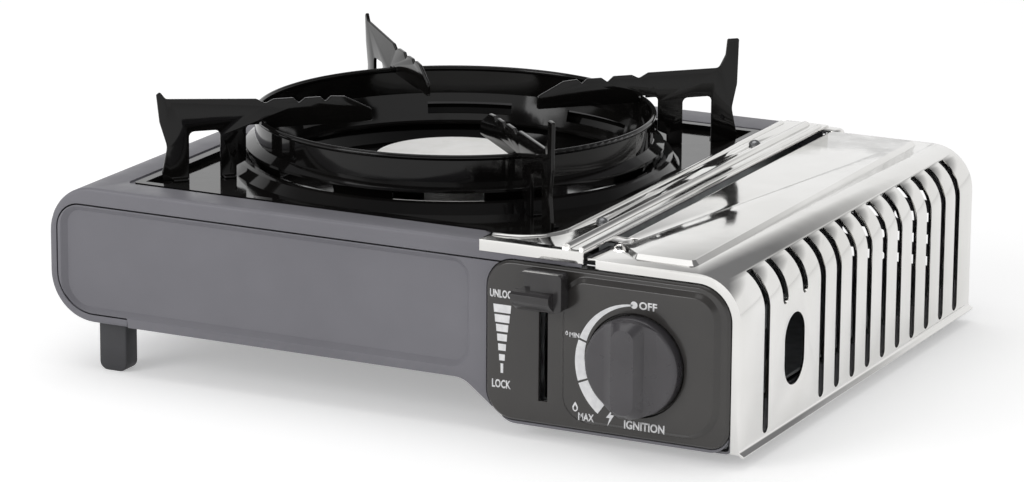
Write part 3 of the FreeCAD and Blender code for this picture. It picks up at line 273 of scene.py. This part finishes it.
def gloss_panel_plastic():
    """ABS, injection-moulded in a polished tool: dark charcoal with a clear shine."""
    material, tree, shader, place = blank_material("abs_gloss_charcoal")
    tree.links.new(tint(tree, place, 45, "#363433", "#3c3a38"), shader.inputs["Base Color"])
    tree.links.new(rough_between(tree, place, 15, 0.16, 0.24), shader.inputs["Roughness"])
    tree.links.new(bump(tree, place, 12, 0.03, 0.4, 1.0), shader.inputs["Normal"])
    shader.inputs["IOR"].default_value = MOULDED_IOR
    return material


def satin_knob_plastic():
    """Nylon, moulded in a fine-blasted tool: near-black with a satin skin."""
    material, tree, shader, place = blank_material("nylon_satin_black")
    tree.links.new(tint(tree, place, 20, "#424043", "#484649"), shader.inputs["Base Color"])
    tree.links.new(rough_between(tree, place, 6, 0.26, 0.34), shader.inputs["Roughness"])
    tree.links.new(bump(tree, place, 0.6, 0.01, 0.4), shader.inputs["Normal"])
    shader.inputs["IOR"].default_value = MOULDED_IOR
    return material


def lever_plastic():
    """The same nylon as the knob, from a polished tool."""
    material, tree, shader, place = blank_material("nylon_gloss_black")
    tree.links.new(tint(tree, place, 20, "#2a2829", "#302e2f"), shader.inputs["Base Color"])
    tree.links.new(rough_between(tree, place, 8, 0.18, 0.26), shader.inputs["Roughness"])
    shader.inputs["IOR"].default_value = MOULDED_IOR
    return material


def igniter_plastic():
    """Glass-filled polyester moulding: dark and dull."""
    material, tree, shader, place = blank_material("glass_filled_polyester")
    tree.links.new(tint(tree, place, 3, "#2b2b2e", "#343437"), shader.inputs["Base Color"])
    shader.inputs["Roughness"].default_value = 0.55
    tree.links.new(bump(tree, place, 0.5, 0.02, 0.5), shader.inputs["Normal"])
    return material


def foot_plastic():
    """Polypropylene, moulded with a light spark texture: dark grey and matt."""
    material, tree, shader, place = blank_material("polypropylene_grey")
    tree.links.new(tint(tree, place, 10, "#303033", "#39393c"), shader.inputs["Base Color"])
    tree.links.new(rough_between(tree, place, 5, 0.45, 0.58), shader.inputs["Roughness"])
    tree.links.new(bump(tree, place, 0.5, 0.02, 0.6), shader.inputs["Normal"])
    return material


def glazed_ceramic():
    """Glazed alumina: warm white with a wet shine."""
    material, tree, shader, place = blank_material("glazed_alumina")
    tree.links.new(tint(tree, place, 6, "#e6e2d8", "#efece4"), shader.inputs["Base Color"])
    shader.inputs["Roughness"].default_value = 0.12
    return material


def wire_cover():
    """Silicone insulation, extruded: cream and slightly dull."""
    material, tree, shader, place = blank_material("silicone_cream")
    tree.links.new(tint(tree, place, 12, "#c9c0ad", "#d4ccba"), shader.inputs["Base Color"])
    shader.inputs["Roughness"].default_value = 0.45
    return material


def print_ink():
    """Pad-printed white ink: thin, flat and slightly uneven."""
    material, tree, shader, place = blank_material("pad_print_white")
    tree.links.new(tint(tree, place, 3, "#e4e4e6", "#f2f2f3"), shader.inputs["Base Color"])
    shader.inputs["Roughness"].default_value = 0.5
    return material


def seen_directly(tree):
    """1 for rays from the camera and for rays off gloss or through glass, else 0."""
    path = node(tree, "ShaderNodeLightPath").outputs
    glossy = node(tree, "ShaderNodeMath", operation="MAXIMUM",
                  links={0: path["Is Camera Ray"], 1: path["Is Glossy Ray"]})
    seen = node(tree, "ShaderNodeMath", operation="MAXIMUM",
                links={0: glossy.outputs[0], 1: path["Is Transmission Ray"]})
    return seen.outputs[0]


def paper_floor():
    """Seamless studio paper: white and matt, pure white where it is seen, with its shadow kept."""
    material = bpy.data.materials.new("studio_paper")
    material.use_nodes = True
    tree = material.node_tree
    tree.nodes.clear()
    paper = node(tree, "ShaderNodeBsdfDiffuse", {"Color": linear("#f4f4f4")})
    seen_paper = node(tree, "ShaderNodeBsdfDiffuse", {"Color": (0.86, 0.86, 0.86, 1)})
    lift = node(tree, "ShaderNodeEmission", {"Color": (1, 1, 1, 1), "Strength": 0.34})
    lifted = node(tree, "ShaderNodeAddShader", links={0: seen_paper.outputs[0], 1: lift.outputs[0]})
    mix = node(tree, "ShaderNodeMixShader",
               links={0: seen_directly(tree), 1: paper.outputs[0], 2: lifted.outputs[0]})
    node(tree, "ShaderNodeOutputMaterial", links={"Surface": mix.outputs[0]})
    return material


# Modelling helpers

def deselect():
    """Leaves edit mode and selects nothing."""
    if bpy.context.object and bpy.context.object.mode != "OBJECT":
        bpy.ops.object.mode_set(mode="OBJECT")
    bpy.ops.object.select_all(action="DESELECT")


def activate(piece):
    """Makes a piece the only one that operators act on."""
    deselect()
    piece.select_set(True)
    bpy.context.view_layer.objects.active = piece


def apply_all(piece):
    """Applies a piece's modifiers and its place."""
    activate(piece)
    for modifier in list(piece.modifiers):
        bpy.ops.object.modifier_apply(modifier=modifier.name)
    bpy.ops.object.transform_apply(location=True, rotation=True, scale=True)


def put_on(piece, body, material):
    """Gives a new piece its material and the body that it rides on."""
    piece.data.materials.clear()
    piece.data.materials.append(material)
    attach(piece, body)


def softened(name, width, material):
    """A copy of a solid with its pressed or moulded edges rounded, in place of the solid."""
    source = frame["nodes"][name]
    piece = bpy.data.objects.new(name + "_finished", source.data.copy())
    bpy.context.scene.collection.objects.link(piece)
    activate(piece)
    bpy.ops.object.mode_set(mode="EDIT")
    bpy.ops.mesh.select_all(action="SELECT")
    bpy.ops.mesh.remove_doubles(threshold=MERGE_DISTANCE)
    bpy.ops.mesh.dissolve_limited(angle_limit=FLAT_ANGLE)
    bpy.ops.object.mode_set(mode="OBJECT")
    bevel = piece.modifiers.new("edges", "BEVEL")
    bevel.limit_method = "ANGLE"
    bevel.angle_limit = SHARP_ANGLE
    bevel.width = width * MM
    bevel.segments = EDGE_SEGMENTS
    bevel.use_clamp_overlap = True
    bevel.harden_normals = False
    apply_all(piece)
    bpy.ops.object.shade_smooth_by_angle(angle=SMOOTH_ANGLE)
    body = body_of(source)[0]
    put_on(piece, body, material)
    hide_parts(name)


def coat(material, *names):
    """Gives CAD nodes that stay as they are their material."""
    for name in names:
        mesh = frame["nodes"][name].data
        mesh.materials.clear()
        mesh.materials.append(material)


# Lettering and scales printed on the control panel

def raise_print(piece):
    """Turns a flat mesh in the XZ plane into ink with a little thickness."""
    activate(piece)
    bpy.ops.object.mode_set(mode="EDIT")
    bpy.ops.mesh.select_all(action="SELECT")
    bpy.ops.mesh.normals_make_consistent(inside=False)
    bpy.ops.mesh.extrude_region_move(TRANSFORM_OT_translate={"value": (0, PRINT_PROUD, 0)})
    bpy.ops.mesh.select_all(action="SELECT")
    bpy.ops.mesh.normals_make_consistent(inside=False)
    bpy.ops.object.mode_set(mode="OBJECT")
    put_on(piece, PANEL_BODY, INK)


def lettering(name, words, x, z, height, face, width):
    """Words of a given height and width on an upright face, centred at (x, z)."""
    deselect()
    bpy.ops.object.text_add()
    text = bpy.context.object
    text.name = name
    text.data.body = words
    text.data.offset = LETTER_BOLDNESS
    text.data.resolution_u = LETTER_CURVE_STEPS
    bpy.ops.object.convert(target="MESH")
    low = Vector([min(v.co[i] for v in text.data.vertices) for i in range(2)])
    high = Vector([max(v.co[i] for v in text.data.vertices) for i in range(2)])
    middle = (low + high) / 2
    across = width / (high.x - low.x)
    upward = height / (high.y - low.y)
    for v in text.data.vertices:
        v.co = (x + (v.co.x - middle.x) * across, face - PRINT_PROUD,
                z + (v.co.y - middle.y) * upward)
    raise_print(text)


def flat_shape(name, points, face):
    """A printed shape from (x, z) points."""
    mesh = bpy.data.meshes.new(name)
    corners = [(x, face - PRINT_PROUD, z) for x, z in points]
    mesh.from_pydata(corners, [], [tuple(range(len(corners)))])
    piece = bpy.data.objects.new(name, mesh)
    bpy.context.scene.collection.objects.link(piece)
    raise_print(piece)


def dial_band(name, start, end, inner, outer, face):
    """A band round the knob between two angles, its radii in millimetres changing along it."""
    outline = []
    for radii, order in ((outer, range(BAND_STEPS + 1)), (inner, range(BAND_STEPS, -1, -1))):
        for i in order:
            share = i / BAND_STEPS
            angle = math.radians(start + (end - start) * share)
            radius = (radii[0] + (radii[1] - radii[0]) * share) * MM
            outline.append((KNOB_X + radius * math.cos(angle), KNOB_Z + radius * math.sin(angle)))
    flat_shape(name, outline, face)


def dot(name, x, z, radius, face):
    """A round printed dot."""
    angles = [i * math.pi / (DOT_SIDES / 2) for i in range(DOT_SIDES)]
    flat_shape(name, [(x + radius * math.cos(a), z + radius * math.sin(a)) for a in angles], face)


def flame_mark(name, x, z, size, face):
    """A small outlined flame: a drop with a point at its top."""
    outline = ((0, 1.0), (0.28, 0.55), (0.5, 0.1), (0.45, -0.35), (0.22, -0.62), (0, -0.7),
               (-0.22, -0.62), (-0.45, -0.35), (-0.5, 0.1), (-0.28, 0.55))
    inner = [(a * 0.55, b * 0.55 - 0.1) for a, b in outline]
    points = [(x + a * size, z + b * size) for a, b in outline + outline[:1]]
    points += [(x + a * size, z + b * size) for a, b in (inner + inner[:1])[::-1]]
    flat_shape(name, points, face)


def spark_mark(name, x, z, size, face):
    """A small solid lightning stroke."""
    outline = ((0.35, 1.0), (-0.45, -0.1), (-0.05, -0.1), (-0.3, -1.0), (0.45, 0.25), (0.05, 0.25))
    flat_shape(name, [(x + a * size, z + b * size) for a, b in outline], face)


# Height above the table, width at the top and thickness of each bar of the lock scale, in mm
LOCK_BARS = ((56.6, 8.5, 3.6), (52.2, 7.3, 3.4), (48.0, 5.9, 3.2), (43.8, 4.8, 3.1),
             (39.5, 3.8, 3.0), (35.0, 2.8, 2.8), (30.2, 1.3, 4.2))
LOCK_BARS_X = 57.5
LOCK_BAR_TAPER = 0.92

# Angles of each band's ends in degrees, then its inner and outer radii at both ends in mm
DIAL_BANDS = (("dial_band_low", 93, 161, (25.8, 23.9), (26.5, 27.4)),
              ("dial_band_middle", 163, 201, (23.8, 23.0), (27.5, 28.3)),
              ("dial_band_high", 203, 234, (23.0, 22.8), (28.4, 29.0)))

# Words with the place of their middle, their height and their width, in mm
PLATE_WORDS = (("word_unlock", "UNLOCK", 57.9, 63.1, 3.6, 12.6),
               ("word_lock", "LOCK", 57.3, 23.2, 3.8, 9.0))
DIAL_WORDS = (("word_off", "OFF", 127.0, 67.0, 3.5, 8.3),
              ("word_min", "MIN", 92.9, 50.2, 2.2, 4.6),
              ("word_max", "MAX", 98.8, 14.7, 3.4, 7.4),
              ("word_ignition", "IGNITION", 126.0, 14.2, 3.9, 18.8))


def print_words(rows, face):
    """Prints each row's word on an upright face."""
    for name, words, x, z, height, width in rows:
        lettering(name, words, x * MM, z * MM, height * MM, face, width * MM)


def print_panel():
    """White marks: the lock scale on the panel's plate, and the dial on its raised field."""
    x = LOCK_BARS_X * MM
    for i, (height, width, tall) in enumerate(LOCK_BARS):
        z = height * MM
        half = tall / 2 * MM
        wide = width / 2 * MM
        narrow = wide * LOCK_BAR_TAPER
        flat_shape("lock_bar_%d" % i,
                   [(x - narrow, z - half), (x + narrow, z - half),
                    (x + wide, z + half), (x - wide, z + half)], PANEL_PLATE_FACE)
    print_words(PLATE_WORDS, PANEL_PLATE_FACE)
    for band in DIAL_BANDS:
        dial_band(*band, PANEL_FACE)
    dot("dial_dot", 120.5 * MM, 66.9 * MM, 1.6 * MM, PANEL_FACE)
    print_words(DIAL_WORDS, PANEL_FACE)
    flame_mark("flame_small", 89.3 * MM, 50.6 * MM, 1.25 * MM, PANEL_FACE)
    flame_mark("flame_large", 93.6 * MM, 18.4 * MM, 2.6 * MM, PANEL_FACE)
    spark_mark("spark", 110.0 * MM, 16.3 * MM, 4.1 * MM, PANEL_FACE)


# Stage, light and camera

FLOOR_SIZE = 14.0
FLOOR_PLACE = (0, 3.0, 0)
LAMP_TARGET = (0, 0, 0.05)


def floor():
    """The paper under the stove, reaching far behind it."""
    deselect()
    bpy.ops.mesh.primitive_plane_add(size=FLOOR_SIZE, location=FLOOR_PLACE)
    sheet = bpy.context.object
    sheet.name = "floor"
    sheet.data.materials.append(paper_floor())


def lamp(name, place, side, power):
    """A square soft lamp that points at the stove, with its side in metres and power in watts."""
    data = bpy.data.lights.new(name, "AREA")
    data.shape = "RECTANGLE"
    data.size = side
    data.size_y = side
    data.energy = power
    made = bpy.data.objects.new(name, data)
    bpy.context.scene.collection.objects.link(made)
    made.location = place
    made.rotation_mode = "QUATERNION"
    towards = Vector(LAMP_TARGET) - Vector(place)
    made.rotation_quaternion = towards.to_track_quat("-Z", "Y")


def studio():
    """White low down, where the backdrop is, and darker overhead, as a studio's ceiling is."""
    world = bpy.data.worlds.new("studio")
    world.use_nodes = True
    tree = world.node_tree
    tree.nodes.clear()
    direction = node(tree, "ShaderNodeTexCoord")
    height = node(tree, "ShaderNodeSeparateXYZ",
                  links={"Vector": direction.outputs["Generated"]})
    ramp = node(tree, "ShaderNodeValToRGB", links={"Fac": height.outputs["Z"]})
    stops = ramp.color_ramp.elements
    stops[0].position = 0.30
    stops[0].color = (1, 1, 1, 1)
    stops[1].position = 0.40
    stops[1].color = (0.62, 0.62, 0.62, 1)
    ceiling = stops.new(0.56)
    ceiling.color = (0.22, 0.22, 0.225, 1)
    plain = node(tree, "ShaderNodeBackground", {"Color": (1, 1, 1, 1), "Strength": 0.55})
    seen = node(tree, "ShaderNodeBackground", {"Strength": 1.0},
                {"Color": ramp.outputs["Color"]})
    mix = node(tree, "ShaderNodeMixShader",
               links={0: seen_directly(tree), 1: plain.outputs[0], 2: seen.outputs[0]})
    node(tree, "ShaderNodeOutputWorld", links={"Surface": mix.outputs[0]})
    bpy.context.scene.world = world
    lamp("overhead", (-0.3, 0.1, 1.9), 1.6, 9)
    lamp("front_left", (-1.3, -2.2, 1.2), 1.3, 21)


def camera():
    """The photograph's viewpoint, framing and perspective."""
    right = Vector((math.cos(CAMERA_AZIMUTH), math.sin(CAMERA_AZIMUTH), 0))
    up = CAMERA_BACK.cross(right).normalized()
    right = up.cross(CAMERA_BACK).normalized()
    turned_right = right * math.cos(CAMERA_ROLL) + up * math.sin(CAMERA_ROLL)
    turned_up = up * math.cos(CAMERA_ROLL) - right * math.sin(CAMERA_ROLL)
    data = bpy.data.cameras.new("camera")
    data.sensor_width = SENSOR
    data.lens = FOCAL_PIXELS / IMAGE_WIDTH * SENSOR
    data.shift_x = (IMAGE_WIDTH / 2 - PRINCIPAL_X) / IMAGE_WIDTH
    data.shift_y = (PRINCIPAL_Y - IMAGE_HEIGHT / 2) / IMAGE_WIDTH
    data.clip_start = 0.1
    data.clip_end = 50
    made = bpy.data.objects.new("camera", data)
    bpy.context.scene.collection.objects.link(made)
    axes = Matrix((turned_right, turned_up, CAMERA_BACK)).transposed().to_4x4()
    made.matrix_world = Matrix.Translation(CAMERA_PLACE) @ axes
    bpy.context.scene.camera = made


INK = print_ink()
PANEL_BODY = "stove"

grey = powder_coat()
inner_grey_painted_shade = powder_coat_inside_shaded()
enamel = black_enamel()
chrome = polished_cover_steel()
zinc_sheet = galvanised_steel()
steel = turned_steel()
burner_alloy = cast_burner_alloy()
panel_plastic = gloss_panel_plastic()
knob_plastic = satin_knob_plastic()

for name in ("body_shell", "front_panel"):
    softened(name, 0.2, grey)
coat(grey, "back_panel")
# The base pan gets the darker grey of painted shade.
coat(inner_grey_painted_shade, "base_pan")
for name in ("arm_front_right", "arm_back_right", "arm_back_left", "arm_front_left"):
    softened(name, 0.4, enamel)
coat(enamel, "drip_tray", "ring")
softened("cover", 0.35, chrome)
softened("hinge_strip", 0.3, chrome)
coat(zinc_sheet, "heat_shield", "burner_bracket", "jet_bracket", "bay_wall", "cartridge_cradle")
coat(steel, "strip_screws", "hinge_rod", "mixing_tube", "igniter_cam", "lever_slide",
     "cartridge_carriage", "gas_pipe", "base_screws")
coat(burner_alloy, "burner_head", "burner_cap")
coat(turned_brass(), "gas_jet", "valve_stem")
coat(zinc_casting(), "regulator_body", "regulator_cap")
softened("control_panel", 0.5, panel_plastic)
softened("knob", 0.8, knob_plastic)
softened("lever", 0.7, lever_plastic())
coat(igniter_plastic(), "igniter_body", "igniter_plunger")
coat(glazed_ceramic(), "igniter_electrode")
coat(wire_cover(), "ignition_wire")
foot_grey = foot_plastic()
for name in ("foot_front_left", "foot_back_left", "foot_front_right", "foot_back_right"):
    softened(name, 0.8, foot_grey)
print_panel()

floor()
studio()
camera()
bpy.context.scene.view_settings.view_transform = "Standard"
